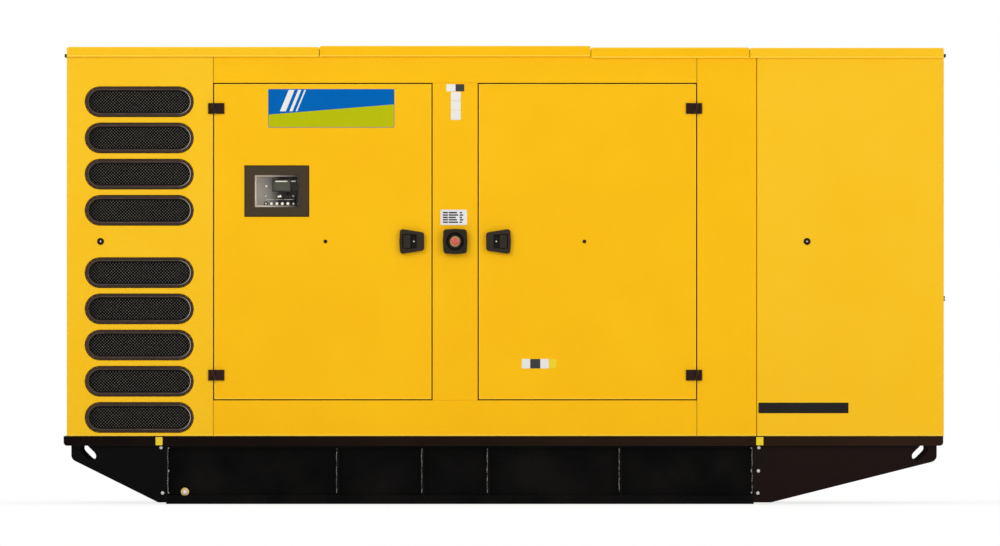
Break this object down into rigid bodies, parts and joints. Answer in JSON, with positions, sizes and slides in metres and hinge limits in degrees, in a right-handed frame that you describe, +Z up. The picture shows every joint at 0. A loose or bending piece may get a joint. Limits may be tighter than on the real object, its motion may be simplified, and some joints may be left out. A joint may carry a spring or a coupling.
{
  "type": "diesel generator",
  "caption": "Sound-proof canopied diesel generating set on a black skid, with hinged service doors, obround air inlets, latch handles and an emergency stop.",
  "frame": {"origin": "on the flat bottom of the skid, below the middle of the canopy", "axes": "+X along the set, to the right seen from the front; +Y to the back; +Z up"},
  "size_m": [4.5035, 1.562, 2.338],
  "materials": {
    "yellow": "powder coat, satin",
    "skid": "gloss black paint",
    "rail": "gloss black paint",
    "brass": "brass",
    "moulded": "moulded dark plastic",
    "seal": "black rubber",
    "fixing": "dark fixing",
    "dark_steel": "black paint, satin",
    "gold": "gold",
    "cabinet": "light grey paint",
    "engine_grey": "engine enamel",
    "alternator_grey": "machine enamel",
    "rubber": "rubber",
    "fan": "moulded fan",
    "exhaust": "bare steel",
    "pane": "clear pane",
    "red": "red plastic"
  },
  "bodies": {
    "set": {"side_rails": "rail", "end_rails": "rail", "side_beam_front": "skid", "side_beam_back": "skid", "wings_left": "skid", "wings_right": "skid", "fuel_tank": "skid", "floor_deck": "skid", "drain_plug": "brass", "vent_panel_front": "yellow", "vent_panel_back": "yellow", "vent_grilles_front": "moulded", "vent_grilles_back": "moulded", "headers": "yellow", "sills": "yellow", "centre_post_front": "yellow", "centre_post_back": "yellow", "side_panels": "yellow", "end_panels": "yellow", "end_wall_left": "yellow", "end_wall_right": "yellow", "end_strips": "seal", "panel_locks": "fixing", "roof_section_1": "yellow", "roof_section_2": "yellow", "roof_section_3": "yellow", "roof_section_4": "yellow", "outlet_grille": "dark_steel", "hinge_frame_leaves": "moulded", "stop_housing": "moulded", "stop_ring": "gold", "back_doors": "yellow", "back_door_hinges": "moulded", "back_door_handles": "moulded", "control_cabinet": "cabinet", "engine": "engine_grey", "alternator": "alternator_grey", "bearers": "dark_steel", "rubber_mounts": "rubber", "radiator": "dark_steel", "fan": "fan", "exhaust": "exhaust", "air_filter": "moulded"},
    "left_door": {"door_left": "yellow", "door_left_hinges": "moulded", "door_left_handle": "moulded", "window_frame": "moulded", "window_pane": "pane"},
    "left_paddle": {"door_left_paddle": "moulded"},
    "right_door": {"door_right": "yellow", "door_right_hinges": "moulded", "door_right_handle": "moulded"},
    "right_paddle": {"door_right_paddle": "moulded"},
    "button": {"stop_button": "red"}
  },
  "joints": [
    {"name": "left_door_hinge", "type": "hinge", "parent": "set", "child": "left_door", "pos_m": [-1.488, -0.762, 1.338], "axis": [0, 0, -1], "range_deg": [0, 120]},
    {"name": "right_door_hinge", "type": "hinge", "parent": "set", "child": "right_door", "pos_m": [0.976, -0.762, 1.338], "axis": [0, 0, 1], "range_deg": [0, 120]},
    {"name": "left_paddle_hinge", "type": "hinge", "parent": "left_door", "child": "left_paddle", "pos_m": [-0.516, -0.77, 1.34], "axis": [0, 0, -1], "range_deg": [0, 35]},
    {"name": "right_paddle_hinge", "type": "hinge", "parent": "right_door", "child": "right_paddle", "pos_m": [0.004, -0.77, 1.34], "axis": [0, 0, 1], "range_deg": [0, 35]},
    {"name": "stop_button_slide", "type": "slide", "parent": "set", "child": "button", "axis": [0, 1, 0], "range_m": [0, 0.005]}
  ]
}
